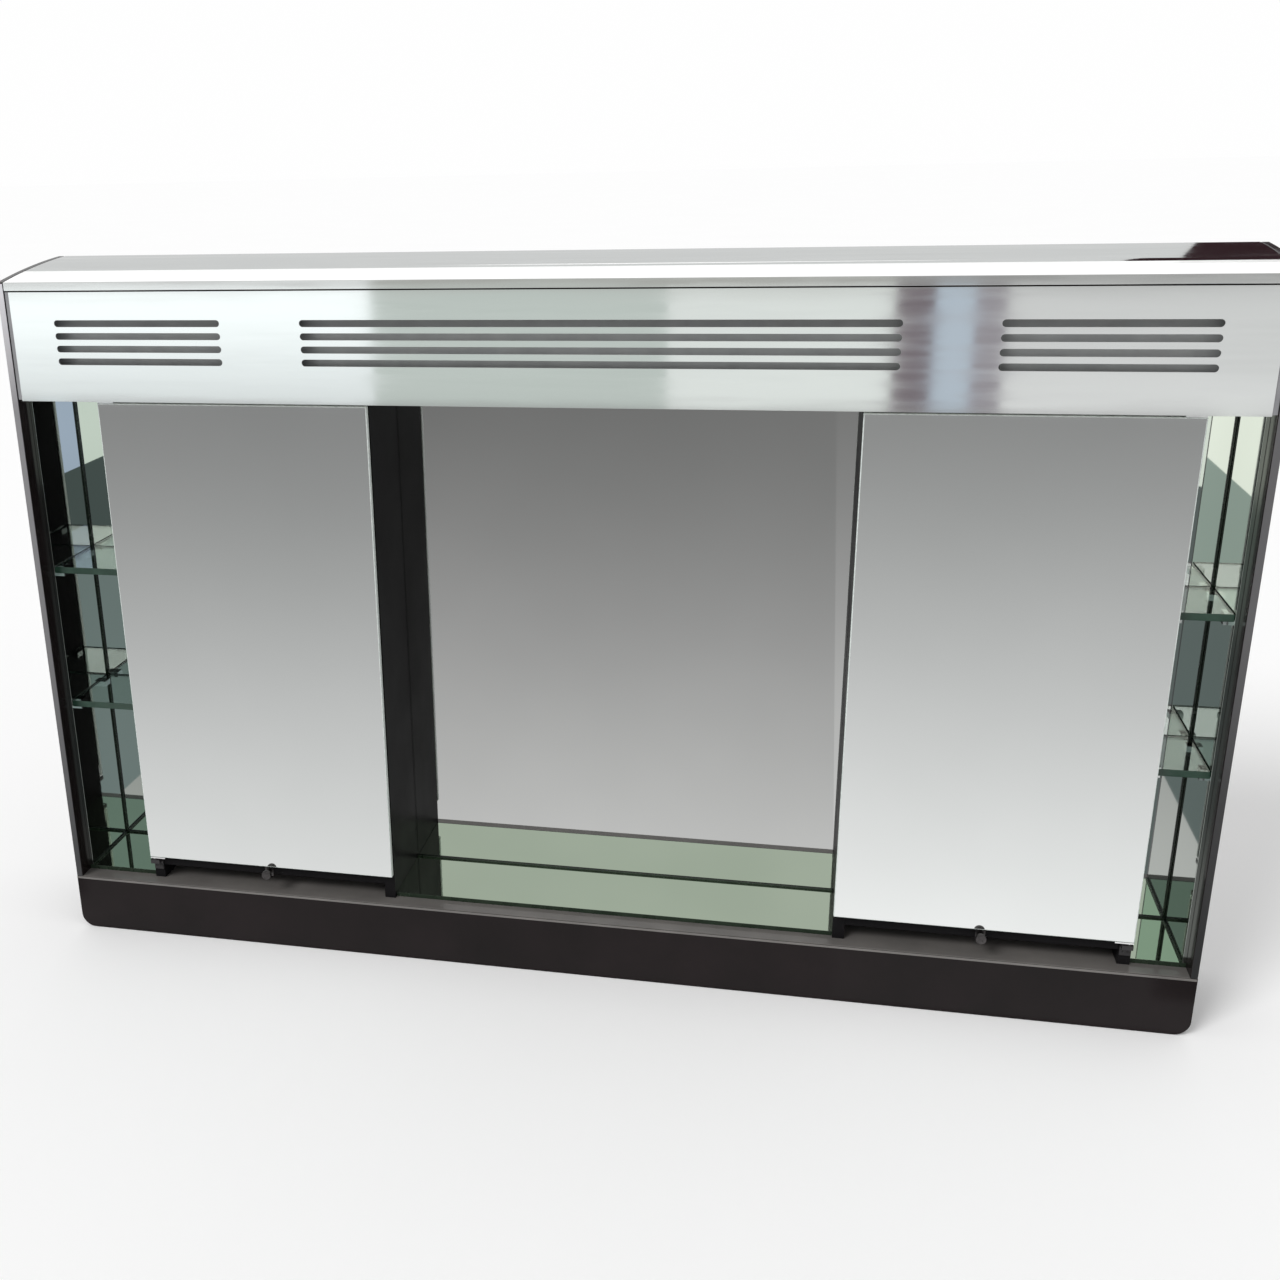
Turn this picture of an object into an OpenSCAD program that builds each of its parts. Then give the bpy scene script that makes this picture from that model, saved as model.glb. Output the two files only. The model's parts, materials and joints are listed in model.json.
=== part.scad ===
// Wall-hung mirror cabinet: a wide mirror-lined case with a lamp hood across the top,
// two shallow boxes with frameless mirror doors, and an open niche at each end.
// +X runs to the right, +Z up, and the front faces -Y.

/* [Case] */
// Width over the side panels
case_w = 1000; // [980:1:1080]
// Depth from the front of the hood to the wall
case_d = 110; // [108:1:130]
// Height of the case at the front of the top cover
case_h = 612; // [606:1:660]
// Height that the top cover gains towards the wall
crown_rise = 13; // [8:1:22]
// Thickness of a side panel
side_t = 6; // [5:0.5:8]
// Radius of the two lower outer corners
corner_r = 13; // [10:1:20]

/* [Base] */
// Height of the base board
base_h = 54; // [50:1:60]
// Thickness of the base board
base_t = 18; // [15:1:20]

/* [Mirrors] */
// Thickness of the side mirrors
side_mirror_t = 3; // [3:0.5:4]
// Thickness of the back and floor mirrors
mirror_t = 4; // [3:0.5:5]
// Depth at which the mirror lining and the niche shelves begin
lining_y = 17; // [16:1:20]

/* [Hood] */
// Height of the lower edge of the hood
hood_z = 513; // [508:1:516]
// Height of the polished hood panel
hood_h = 91; // [84:1:92]
// Height of one vent slot
slot_h = 5.5; // [3:0.5:7]
// Height of the lowest edge of the vent slots
slot_z = 544; // [536:1:548]
// Distance from one row of slots to the next
slot_pitch = 10.5; // [9:0.5:11]

/* [Boxes and doors] */
// Width of each door and box
box_w = 240; // [220:1:245]
// Outer edge of the left box, measured from the middle
left_outer = 423; // [415:1:430]
// Outer edge of the right box, measured from the middle
right_outer = 450; // [440:1:455]
// Thickness of the box boards
board_t = 10; // [8:0.5:12]
// Height of the door's lower edge
door_z = 79; // [78:1:86]
// Height of one mirror door
door_h = 432; // [420:1:432]
// Thickness of the door mirror
door_t = 5; // [4:0.5:5]

/* [Shelves] */
// Underside of the lower niche shelf
niche_low_z = 224; // [180:1:260]
// Underside of the upper niche shelf
niche_high_z = 354; // [300:1:420]
// Thickness of a niche shelf
niche_shelf_t = 6; // [4:0.5:8]
// Underside of the lower shelf in a box
box_low_z = 214; // [150:1:250]
// Underside of the upper shelf in a box
box_high_z = 358; // [335:1:420]

/* [Hidden] */
$fn = 48;

lacquer = [0.13, 0.1, 0.1];
box_black = [0.1, 0.1, 0.1];
silvered = [0.72, 0.76, 0.74];
polished = [0.85, 0.86, 0.87];
clear_glass = [0.55, 0.75, 0.65];
white_steel = [0.93, 0.93, 0.9];
dark_steel = [0.3, 0.3, 0.31];

half_w = case_w / 2;
knob_reach = 4;
// The origin lies at the middle of the overall box, knobs included.
front_y = -(case_d - knob_reach) / 2;

// Case, with depths counted from the hood's face
back_t = 16;
back_y = case_d - back_t;
mirror_y = back_y - mirror_t;
side_in = half_w - side_t;
lining_x = side_in - side_mirror_t;
bottom_t = 6;
floor_t = 12;
floor_z = base_h - floor_t;
mirror_floor_z = base_h + mirror_t;
crown_bulge = 7.2;
crown_steps = 12;

// Top cover, rail and hood
sheet_t = 2;
cover_gap = 1;
cover_half = side_in - 0.3;
hood_top = hood_z + hood_h;
hood_half = side_in - 4;
hood_flange = 12;
rail_y = 4;
rail_t = 14;
rail_h = 16;
cleat_t = 10;
cleat_h = 14;
slot_rows = 4;
outer_slot_x = [303, 451];
middle_slot_x = 234;
hood_floor_t = 3;
hood_floor_y = 2.5;
hood_floor_z = hood_z + 0.5;
hood_inside_z = hood_floor_z + hood_floor_t;
baffle_y = 12;
baffle_t = 1;
baffle_foot = 9;
baffle_top = hood_top - sheet_t - rail_h - 0.5;
baffle_half = 465;

// Lamp and its gear
recess_mid = (right_outer - left_outer) / 2;
window_half = 170;
window_y = [32, 82];
window_lip = 6;
window_slack = 0.3;
tube_r = 13;
tube_half = 219;
tube_y = 60;
tube_z = 561;
tube_pin_r = 1.2;
tube_pin_half = 6.35;
tube_pin_len = 7;
holder_t = 14;
holder_half = 12;
tray_z = 592;
tray_t = 1.2;
tray_half = 236;

// Lower front corners of the lamp gear that stands on the hood floor, and its screw holes
ballast_at = [-430, 40, hood_inside_z];
starter_at = [290, 46, hood_inside_z];
terminal_at = [380, 60, hood_inside_z];
foot_hole_r = 2.2;
way_r = 2.6;

// Wall fixings and cable entry through the back board
hang_x = 440;
hang_z = 560;
hang_hole_r = 3;
cable_x = 300;
cable_z = 572;
cable_r = 8;

// Boxes: local x runs from a box's outer edge towards the middle
box_y = 12.5;
box_back_t = 3;
box_back_y = mirror_y - box_back_t;
box_top_z = hood_z - 0.5;
box_in = board_t;
box_out = box_w - board_t;
plinth_y = 45;
plinth_t = 10;
box_floor_z = door_z - 1;
box_shelf_t = 5;
box_shelf_y = 30;
shelf_slack = 0.3;
peg_r = 2.5;
peg_len = 8;
peg_y = [42, 76];

// Doors and their pivots
door_y = 5;
pin_x = 3.5;
pin_y = door_y + door_t / 2;
pin_r = 2;
pin_slack = 0.05;
pin_len = 5;
clip_t = 1;
clip_cap = 1.2;
clip_x = [0.5, 15];
clip_h = 12;
door_top = door_z + door_h;
pivot_tab_t = 4;
pivot_gap = 1.3;
pivot_leaf_t = 1.5;
pivot_leaf_h = 9;
catch_z = 285;
catch_h = 40;
knob_z = door_z - 4.5;
knob_r = 4.5;

// Solid of a 2D shape drawn in X and Z, between two depths
module along_y(y0, y1) translate([0, y1, 0]) rotate([90, 0, 0]) linear_extrude(y1 - y0) children();

// Solid of a 2D shape drawn in Y and Z, between two places across the width
module along_x(x0, x1) translate([x0, 0, 0]) rotate([90, 0, 90]) linear_extrude(x1 - x0) children();

// Box between two corners
module block(low, high) translate(low) cube(high - low);

// Depths are counted from the hood's face, and this moves them into the part's frame.
module placed() translate([0, front_y, 0]) children();
module on_left() placed() translate([-left_outer, 0, 0]) children();
module on_right() placed() translate([right_outer, 0, 0]) mirror([1, 0, 0]) children();
module flipped() mirror([1, 0, 0]) children();

// Height of the top cover's outer face at depth y
function crown_z(y) =
    let (t = y / case_d) case_h + crown_rise * t + crown_bulge * t * (1 - t);
function crown_line(y0, y1, drop) =
    [for (i = [0 : crown_steps]) let (y = y0 + (y1 - y0) * i / crown_steps) [y, crown_z(y) - drop]];
function turned(points) = [for (i = [len(points) - 1 : -1 : 0]) points[i]];

// ---- case ----

// Right-hand side panel: a thin upright that bends into the rounded lower corner
module side_panel() {
    color(lacquer) placed() difference() {
        union() {
            along_x(side_in, half_w)
                polygon(concat([[case_d, corner_r], [0, corner_r]], crown_line(0, case_d, 0)));
            along_y(0, case_d) translate([half_w - corner_r, corner_r]) intersection() {
                difference() {
                    circle(corner_r);
                    circle(corner_r - side_t);
                }
                translate([0, -corner_r]) square(corner_r);
            }
        }
        block([half_w - corner_r - 1, -1, -1], [half_w + 1, base_t, base_h]);
    }
}
module left_side_panel() flipped() side_panel();
module right_side_panel() side_panel();

module base_board() {
    color(lacquer) placed() along_y(0, base_t) {
        translate([-half_w, corner_r]) square([case_w, base_h - corner_r]);
        translate([corner_r - half_w, 0]) square([case_w - 2 * corner_r, corner_r]);
        for (side = [-1, 1]) translate([side * (half_w - corner_r), corner_r]) circle(corner_r);
    }
}

module bottom_panel() {
    color(lacquer) placed()
        block([corner_r - half_w, base_t, 0], [half_w - corner_r, case_d, bottom_t]);
}

module floor_board() {
    color(box_black) placed()
        block([-side_in, base_t, floor_z], [side_in, back_y, floor_z + floor_t]);
}

module back_board() {
    low = half_w - corner_r;
    color(dark_steel) placed() along_y(back_y, case_d) difference() {
        union() {
            translate([-low, bottom_t]) square([2 * low, corner_r]);
            translate([-side_in, corner_r])
                square([2 * side_in, crown_z(back_y) - sheet_t - corner_r - 0.5]);
        }
        for (side = [-1, 1]) translate([side * hang_x, hang_z]) circle(hang_hole_r);
        translate([cable_x, cable_z]) circle(cable_r);
    }
}

module back_mirror() {
    color(silvered) placed()
        block([-side_in, mirror_y, floor_z + floor_t], [side_in, back_y, hood_z]);
}

// Three panes on the floor board: one in each niche, and one in the recess between the boxes
module floor_mirror() {
    panes = [[-side_in, -left_outer], [box_w - left_outer, right_outer - box_w], [right_outer, side_in]];
    color(silvered) placed() for (pane = panes)
        block([pane[0], lining_y, base_h], [pane[1], mirror_y, mirror_floor_z]);
}

module side_mirror() {
    color(silvered) placed() block([lining_x, lining_y, mirror_floor_z], [side_in, mirror_y, hood_z]);
}
module left_side_mirror() flipped() side_mirror();
module right_side_mirror() side_mirror();

// ---- top cover and hood ----

// Polished sheet between the side panels, which rises in a shallow crown towards the wall and
// has a lip over the hood panel
module top_cover() {
    lip_z = hood_top + cover_gap;
    color(polished) placed() along_x(-cover_half, cover_half) polygon(concat(
        [[0, lip_z]], crown_line(0, case_d, 0), turned(crown_line(sheet_t, case_d, sheet_t)),
        [[sheet_t, lip_z]]));
}

module cover_cleats() {
    color(dark_steel) placed() for (side = [-1, 1]) {
        x0 = side > 0 ? side_in - cleat_t : -side_in;
        along_x(x0, x0 + cleat_t) polygon(concat(
            crown_line(rail_y + rail_t + 2, back_y, sheet_t + 0.1),
            turned(crown_line(rail_y + rail_t + 2, back_y, sheet_t + cleat_h))));
    }
}

module top_rail() {
    z1 = hood_top - sheet_t;
    color(dark_steel) placed() block([-side_in, rail_y, z1 - rail_h], [side_in, rail_y + rail_t, z1]);
}

// Rows of slots with round ends
module vent_slots(x0, x1) {
    end_r = slot_h / 2;
    for (row = [0 : slot_rows - 1]) translate([0, slot_z + row * slot_pitch + end_r]) {
        translate([x0 + end_r, -end_r]) square([x1 - x0 - slot_h, slot_h]);
        for (x = [x0 + end_r, x1 - end_r]) translate([x, 0]) circle(end_r);
    }
}

// Polished front panel with a flange along its top and a return at each end
module hood_panel() {
    color(polished) placed() union() {
        along_y(0, sheet_t) difference() {
            translate([-hood_half, hood_z]) square([2 * hood_half, hood_h]);
            vent_slots(-middle_slot_x, middle_slot_x);
            vent_slots(outer_slot_x[0], outer_slot_x[1]);
            vent_slots(-outer_slot_x[1], -outer_slot_x[0]);
        }
        block([-hood_half, sheet_t, hood_top - sheet_t], [hood_half, sheet_t + hood_flange, hood_top]);
        for (x = [-hood_half, hood_half - sheet_t])
            block([x, sheet_t - 1, hood_inside_z], [x + sheet_t, sheet_t + hood_flange, baffle_top]);
    }
}

// Strip behind the slots that hides the lamp gear, with a foot on the hood floor
module slot_baffle() {
    color(dark_steel) placed() union() {
        block([-baffle_half, baffle_y, hood_inside_z], [baffle_half, baffle_y + baffle_t, baffle_top]);
        block([-baffle_half, baffle_y, hood_inside_z],
              [baffle_half, baffle_y + baffle_foot, hood_inside_z + baffle_t]);
    }
}

// Underside of the hood, with the lamp window and the bores of the upper door pivots
module hood_floor() {
    color(white_steel) placed() difference() {
        block([-lining_x, hood_floor_y, hood_floor_z], [lining_x, back_y, hood_inside_z]);
        block([recess_mid - window_half, window_y[0], hood_floor_z - 1],
              [recess_mid + window_half, window_y[1], hood_inside_z + 1]);
        for (x = [pin_x - left_outer, right_outer - pin_x])
            translate([x, pin_y, hood_floor_z - 1]) cylinder(h = hood_floor_t + 2, r = pin_r + pin_slack);
    }
}

module diffuser() {
    inset = window_slack;
    color("white") placed() union() {
        block([recess_mid - window_half + inset, window_y[0] + inset, hood_floor_z],
              [recess_mid + window_half - inset, window_y[1] - inset, hood_inside_z]);
        block([recess_mid - window_half - window_lip, window_y[0] - window_lip, hood_inside_z],
              [recess_mid + window_half + window_lip, window_y[1] + window_lip, hood_inside_z + sheet_t]);
    }
}

// ---- lamp and its gear ----

// Folded reflector over the tube, with a tab that screws to the back board
module lamp_tray() {
    skirt = 20;
    flat = 18;
    spread = 30;
    tab_half = 40;
    tab_h = 12;
    inner = [for (p = [[-spread, -skirt], [-flat, 0], [flat, 0], [spread, -skirt]])
        [tube_y + p[0] - sign(p[0]) * tray_t, tray_z + p[1] - (p[1] == 0 ? tray_t : 0)]];
    color(white_steel) placed() union() {
        along_x(-tray_half, tray_half) polygon(concat(
            [[tube_y - spread, tray_z - skirt], [tube_y - flat, tray_z],
             [tube_y + flat, tray_z], [tube_y + spread, tray_z - skirt]], turned(inner)));
        block([-tab_half, tube_y, tray_z - tray_t], [tab_half, back_y, tray_z]);
        block([-tab_half, back_y - tray_t, tray_z - tray_t], [tab_half, back_y, tray_z + tab_h]);
    }
}

module lamp_holder() {
    x0 = tube_half + 0.5;
    color("white") placed() difference() {
        block([x0, tube_y - holder_half, tube_z - tube_r - 1],
              [x0 + holder_t, tube_y + holder_half, tray_z - tray_t]);
        for (side = [-1, 1]) translate([x0 - 1, tube_y, tube_z + side * tube_pin_half])
            rotate([0, 90, 0]) cylinder(h = tube_pin_len + 2, r = tube_pin_r + 0.1);
    }
}
module left_lamp_holder() flipped() lamp_holder();
module right_lamp_holder() lamp_holder();

module lamp_tube() {
    color("ivory") placed() translate([0, tube_y, tube_z]) rotate([0, 90, 0]) union() {
        translate([0, 0, -tube_half]) cylinder(h = 2 * tube_half, r = tube_r);
        for (side = [-1, 1]) translate([side * tube_pin_half, 0, -tube_half - tube_pin_len])
            cylinder(h = 2 * (tube_half + tube_pin_len), r = tube_pin_r);
    }
}

module ballast() {
    size = [150, 42, 28];
    foot = [12, 42, 2];
    color(dark_steel) placed() translate(ballast_at) union() {
        cube(size);
        for (x = [-foot[0], size[0]]) translate([x, 0, 0]) difference() {
            cube(foot);
            translate([foot[0] / 2, foot[1] / 2, -1]) cylinder(h = foot[2] + 2, r = foot_hole_r);
        }
    }
}

module starter() {
    can_r = 10.5;
    can_len = 36;
    base = [12, 28, 32];
    color("white") placed() translate(starter_at) union() {
        cube(base);
        translate([base[0], base[1] / 2, base[2] / 2]) rotate([0, 90, 0])
            cylinder(h = can_len, r = can_r);
    }
}

module terminal_block() {
    size = [42, 20, 17];
    ways = 3;
    pitch = [13, 10];
    hole_deep = 6;
    color("white") placed() translate(terminal_at) difference() {
        cube(size);
        for (way = [0 : ways - 1], row = [0, 1])
            translate([8 + pitch[0] * way, 5 + pitch[1] * row, size[2] - hole_deep])
                cylinder(h = hole_deep + 1, r = way_r);
    }
}

module hang_plates() {
    plate = [44, 2, 34];
    color(dark_steel) placed() for (side = [-1, 1])
        translate([side * hang_x, back_y - plate[1], hang_z]) rotate([-90, 0, 0])
            linear_extrude(plate[1]) difference() {
                square([plate[0], plate[2]], center = true);
                circle(hang_hole_r);
            }
}

// ---- boxes ----

module box_flank(x0) color(box_black) block([x0, box_y, base_h], [x0 + board_t, box_back_y, box_top_z]);

// Floor board of a box, on a plinth that stands well back from the door
module box_floor() {
    z0 = box_floor_z - board_t;
    color(box_black) union() {
        block([box_in, plinth_y, base_h], [box_out, plinth_y + plinth_t, z0 + 1]);
        block([box_in, box_y, z0], [box_out, box_back_y, box_floor_z]);
    }
}

module box_top() color(box_black)
    block([box_in, box_y, box_top_z - board_t], [box_out, box_back_y, box_top_z]);

module box_back() color(box_black) block([0, box_back_y, base_h], [box_w, mirror_y, box_top_z]);

module box_shelf(z) color(clear_glass)
    block([box_in + shelf_slack, box_shelf_y, z],
          [box_out - shelf_slack, box_back_y - shelf_slack, z + box_shelf_t]);

module shelf_pegs() {
    color(polished) for (z = [box_low_z, box_high_z], y = peg_y, x = [box_in, box_out - peg_len])
        translate([x, y, z - peg_r]) rotate([0, 90, 0]) cylinder(h = peg_len, r = peg_r);
}

// Magnetic catch on the inner flank: a plastic shell with two steel pole plates
module door_catch() {
    shell_w = 14;
    shell_deep = 22;
    plate_t = 1.5;
    plate_end = 6;
    face_y = box_y - 0.4;
    color("white") union() {
        block([box_out - shell_w, box_y, catch_z], [box_out, box_y + shell_deep, catch_z + catch_h]);
        for (x = [4, 9]) block([box_out - x, face_y, catch_z + plate_end],
                               [box_out - x + plate_t, box_y, catch_z + catch_h - plate_end]);
    }
}

// Lower pivot: a leaf on the box front and a tab with the bore for the door pin
module pivot() {
    z1 = door_z - clip_cap - pivot_gap;
    leaf_w = 9;
    inset = 0.5;
    nose = 1;
    color(dark_steel) difference() {
        union() {
            block([inset, door_y - nose, z1 - pivot_tab_t], [inset + leaf_w, box_y, z1]);
            block([inset, box_y - pivot_leaf_t, z1 - pivot_tab_t - pivot_leaf_h], [inset + leaf_w, box_y, z1]);
        }
        translate([pin_x, pin_y, z1 - pivot_tab_t - 1])
            cylinder(h = pivot_tab_t + 2, r = pin_r + pin_slack);
    }
}

module left_inner_flank() on_left() box_flank(box_out);
module left_outer_flank() on_left() box_flank(0);
module left_box_floor() on_left() box_floor();
module left_box_top() on_left() box_top();
module left_box_back() on_left() box_back();
module left_low_shelf() on_left() box_shelf(box_low_z);
module left_high_shelf() on_left() box_shelf(box_high_z);
module left_shelf_pegs() on_left() shelf_pegs();
module left_catch() on_left() door_catch();
module left_pivot() on_left() pivot();

module right_inner_flank() on_right() box_flank(box_out);
module right_outer_flank() on_right() box_flank(0);
module right_box_floor() on_right() box_floor();
module right_box_top() on_right() box_top();
module right_box_back() on_right() box_back();
module right_low_shelf() on_right() box_shelf(box_low_z);
module right_high_shelf() on_right() box_shelf(box_high_z);
module right_shelf_pegs() on_right() shelf_pegs();
module right_catch() on_right() door_catch();
module right_pivot() on_right() pivot();

// ---- niches ----

module niche_shelf(outer, z) {
    color(clear_glass) placed()
        block([outer + shelf_slack, lining_y, z],
              [lining_x - shelf_slack, mirror_y - shelf_slack, z + niche_shelf_t]);
}
module left_low_niche_shelf() flipped() niche_shelf(left_outer, niche_low_z);
module left_high_niche_shelf() flipped() niche_shelf(left_outer, niche_high_z);
module right_low_niche_shelf() niche_shelf(right_outer, niche_low_z);
module right_high_niche_shelf() niche_shelf(right_outer, niche_high_z);

// Small blocks under the ends of the niche shelves
module niche_blocks(outer) {
    size = [6, 10, 5];
    for (z = [niche_low_z, niche_high_z], y = [lining_y + 8, mirror_y - 18],
         x = [outer, lining_x - size[0]])
        translate([x, y, z - size[2]]) cube(size);
}
module niche_brackets() {
    color(polished) placed() {
        niche_blocks(right_outer);
        flipped() niche_blocks(left_outer);
    }
}

// ---- doors ----

module door_mirror() color(silvered) block([0, door_y, door_z], [box_w, door_y + door_t, door_top]);

// Angle bonded behind the lower outer corner of a door, with the pin that turns in the pivot
module bottom_clip() {
    color(polished) union() {
        block([clip_x[0], door_y + door_t, door_z - clip_cap],
              [clip_x[1], door_y + door_t + clip_t, door_z + clip_h]);
        block([clip_x[0], door_y, door_z - clip_cap], [clip_x[1], door_y + door_t + clip_t, door_z]);
        translate([pin_x, pin_y, door_z - clip_cap - pin_len])
            cylinder(h = pin_len + clip_cap / 2, r = pin_r);
    }
}
module top_clip() translate([0, 0, door_z + door_top]) mirror([0, 0, 1]) bottom_clip();

// Turned knob on an angle bonded behind the middle of the door's lower edge
module knob() {
    half = 4;
    leaf_h = 7;
    neck_r = 2.2;
    edge = 1.2;
    len = knob_reach + door_y;
    leaf_y = door_y + door_t;
    color(polished) translate([box_w / 2, 0, 0]) union() {
        block([-half, door_y, knob_z - knob_r], [half, door_y + clip_t, door_z]);
        block([-half, door_y, door_z - clip_cap], [half, leaf_y + clip_t, door_z]);
        block([-half, leaf_y, door_z - clip_cap], [half, leaf_y + clip_t, door_z + leaf_h]);
        translate([0, door_y, knob_z]) rotate([90, 0, 0]) rotate_extrude() polygon([
            [0, 0], [neck_r, 0], [neck_r, len - 6], [knob_r - edge, len - 4.5], [knob_r, len - 3],
            [knob_r, len - edge], [knob_r - edge, len], [0, len]]);
    }
}

// Steel plate on the back of the door that meets the magnetic catch
module strike() {
    color(dark_steel) block([box_out - 16, door_y + door_t, catch_z + 4],
                            [box_out - 1, door_y + door_t + 1.4, catch_z + catch_h - 4]);
}

module left_door_mirror() on_left() door_mirror();
module left_top_clip() on_left() top_clip();
module left_bottom_clip() on_left() bottom_clip();
module left_knob() on_left() knob();
module left_strike() on_left() strike();
module right_door_mirror() on_right() door_mirror();
module right_top_clip() on_right() top_clip();
module right_bottom_clip() on_right() bottom_clip();
module right_knob() on_right() knob();
module right_strike() on_right() strike();

left_side_panel();
right_side_panel();
base_board();
bottom_panel();
floor_board();
back_board();
back_mirror();
floor_mirror();
left_side_mirror();
right_side_mirror();
top_cover();
cover_cleats();
top_rail();
hood_panel();
slot_baffle();
hood_floor();
diffuser();
lamp_tray();
left_lamp_holder();
right_lamp_holder();
lamp_tube();
ballast();
starter();
terminal_block();
hang_plates();
left_inner_flank();
left_outer_flank();
left_box_floor();
left_box_top();
left_box_back();
left_low_shelf();
left_high_shelf();
left_shelf_pegs();
left_catch();
left_pivot();
right_inner_flank();
right_outer_flank();
right_box_floor();
right_box_top();
right_box_back();
right_low_shelf();
right_high_shelf();
right_shelf_pegs();
right_catch();
right_pivot();
left_low_niche_shelf();
left_high_niche_shelf();
right_low_niche_shelf();
right_high_niche_shelf();
niche_brackets();
left_door_mirror();
left_top_clip();
left_bottom_clip();
left_knob();
left_strike();
right_door_mirror();
right_top_clip();
right_bottom_clip();
right_knob();
right_strike();
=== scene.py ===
"""Looks for the wall-hung mirror cabinet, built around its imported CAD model."""

import json
import math

import bmesh
import bpy
from mathutils import Matrix, Vector


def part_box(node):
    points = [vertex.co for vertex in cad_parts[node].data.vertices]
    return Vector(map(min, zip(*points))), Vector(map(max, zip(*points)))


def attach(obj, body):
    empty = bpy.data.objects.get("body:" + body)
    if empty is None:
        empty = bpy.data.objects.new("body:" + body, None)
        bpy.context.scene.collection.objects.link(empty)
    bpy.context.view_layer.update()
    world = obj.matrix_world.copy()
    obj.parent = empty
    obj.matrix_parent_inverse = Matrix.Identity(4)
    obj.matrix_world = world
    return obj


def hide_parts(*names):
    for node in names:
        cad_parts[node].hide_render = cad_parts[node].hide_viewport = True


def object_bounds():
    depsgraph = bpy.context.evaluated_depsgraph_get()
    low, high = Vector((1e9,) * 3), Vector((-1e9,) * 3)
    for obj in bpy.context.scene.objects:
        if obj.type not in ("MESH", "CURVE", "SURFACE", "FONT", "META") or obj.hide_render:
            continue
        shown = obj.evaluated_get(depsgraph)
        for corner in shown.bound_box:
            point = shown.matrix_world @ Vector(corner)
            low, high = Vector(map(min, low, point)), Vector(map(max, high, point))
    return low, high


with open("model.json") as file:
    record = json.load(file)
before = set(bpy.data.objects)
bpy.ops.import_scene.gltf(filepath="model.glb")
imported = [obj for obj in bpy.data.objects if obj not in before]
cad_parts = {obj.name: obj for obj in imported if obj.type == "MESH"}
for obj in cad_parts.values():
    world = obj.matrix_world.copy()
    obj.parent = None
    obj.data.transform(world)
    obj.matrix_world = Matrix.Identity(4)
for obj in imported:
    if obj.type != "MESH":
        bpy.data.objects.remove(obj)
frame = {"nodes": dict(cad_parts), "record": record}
cad_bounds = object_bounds()
nodes = frame["nodes"]
MM = 0.001


# ---------------------------------------------------------------- materials

def new_material(name):
    """A material with an empty node tree, its output and a Principled shader."""
    mat = bpy.data.materials.new(name)
    mat.use_nodes = True
    tree = mat.node_tree
    tree.nodes.clear()
    out = tree.nodes.new("ShaderNodeOutputMaterial")
    shader = tree.nodes.new("ShaderNodeBsdfPrincipled")
    tree.links.new(shader.outputs["BSDF"], out.inputs["Surface"])
    return mat, tree, shader


def noise(tree, scale, stretch=(1, 1, 1), detail=3.0):
    """Noise over the object's own coordinates, with its own stretch along X, Y and Z."""
    where = tree.nodes.new("ShaderNodeTexCoord")
    spread = tree.nodes.new("ShaderNodeMapping")
    spread.inputs["Scale"].default_value = stretch
    tex = tree.nodes.new("ShaderNodeTexNoise")
    tex.inputs["Scale"].default_value = scale
    tex.inputs["Detail"].default_value = detail
    tree.links.new(where.outputs["Object"], spread.inputs["Vector"])
    tree.links.new(spread.outputs["Vector"], tex.inputs["Vector"])
    return tex.outputs["Fac"]


def spread_value(tree, source, low, high):
    """The noise value stretched from low to high."""
    span = tree.nodes.new("ShaderNodeMapRange")
    span.inputs["From Min"].default_value = 0.3
    span.inputs["From Max"].default_value = 0.7
    span.inputs["To Min"].default_value = low
    span.inputs["To Max"].default_value = high
    tree.links.new(source, span.inputs["Value"])
    return span.outputs["Result"]


def spread_colour(tree, source, low, high):
    """The noise value turned into a colour between two ends."""
    ramp = tree.nodes.new("ShaderNodeValToRGB")
    ramp.color_ramp.elements[0].position = 0.3
    ramp.color_ramp.elements[0].color = (*low, 1)
    ramp.color_ramp.elements[1].position = 0.7
    ramp.color_ramp.elements[1].color = (*high, 1)
    tree.links.new(source, ramp.inputs["Fac"])
    return ramp.outputs["Color"]


def own_axis(tree, axis):
    """How far along one of the object's own axes a point lies."""
    where = tree.nodes.new("ShaderNodeTexCoord")
    axes = tree.nodes.new("ShaderNodeSeparateXYZ")
    tree.links.new(where.outputs["Object"], axes.inputs["Vector"])
    return axes.outputs[axis]


def add_bump(tree, shader, source, strength, distance):
    bump = tree.nodes.new("ShaderNodeBump")
    bump.inputs["Strength"].default_value = strength
    bump.inputs["Distance"].default_value = distance
    tree.links.new(source, bump.inputs["Height"])
    tree.links.new(bump.outputs["Normal"], shader.inputs["Normal"])


def surface(name, low, high, rough, scale=30.0, stretch=(1, 1, 1), bump=0.0, bump_scale=200.0,
            bump_stretch=(1, 1, 1), bump_depth=0.0002, **fixed):
    """A material whose colour and roughness vary a little, with a fine bump. fixed sets plain sockets."""
    mat, tree, shader = new_material(name)
    grain = noise(tree, scale, stretch)
    tree.links.new(spread_colour(tree, grain, low, high), shader.inputs["Base Color"])
    tree.links.new(spread_value(tree, grain, *rough), shader.inputs["Roughness"])
    if bump:
        add_bump(tree, shader, noise(tree, bump_scale, bump_stretch), bump, bump_depth)
    for socket, value in fixed.items():
        shader.inputs[socket.replace("_", " ")].default_value = value
    return mat


# Height span and tint of the painted reflection on the edge strips
STRIP_SPAN = 0.7
STRIP_TINT = (0.98, 0.96, 1.0)


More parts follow.
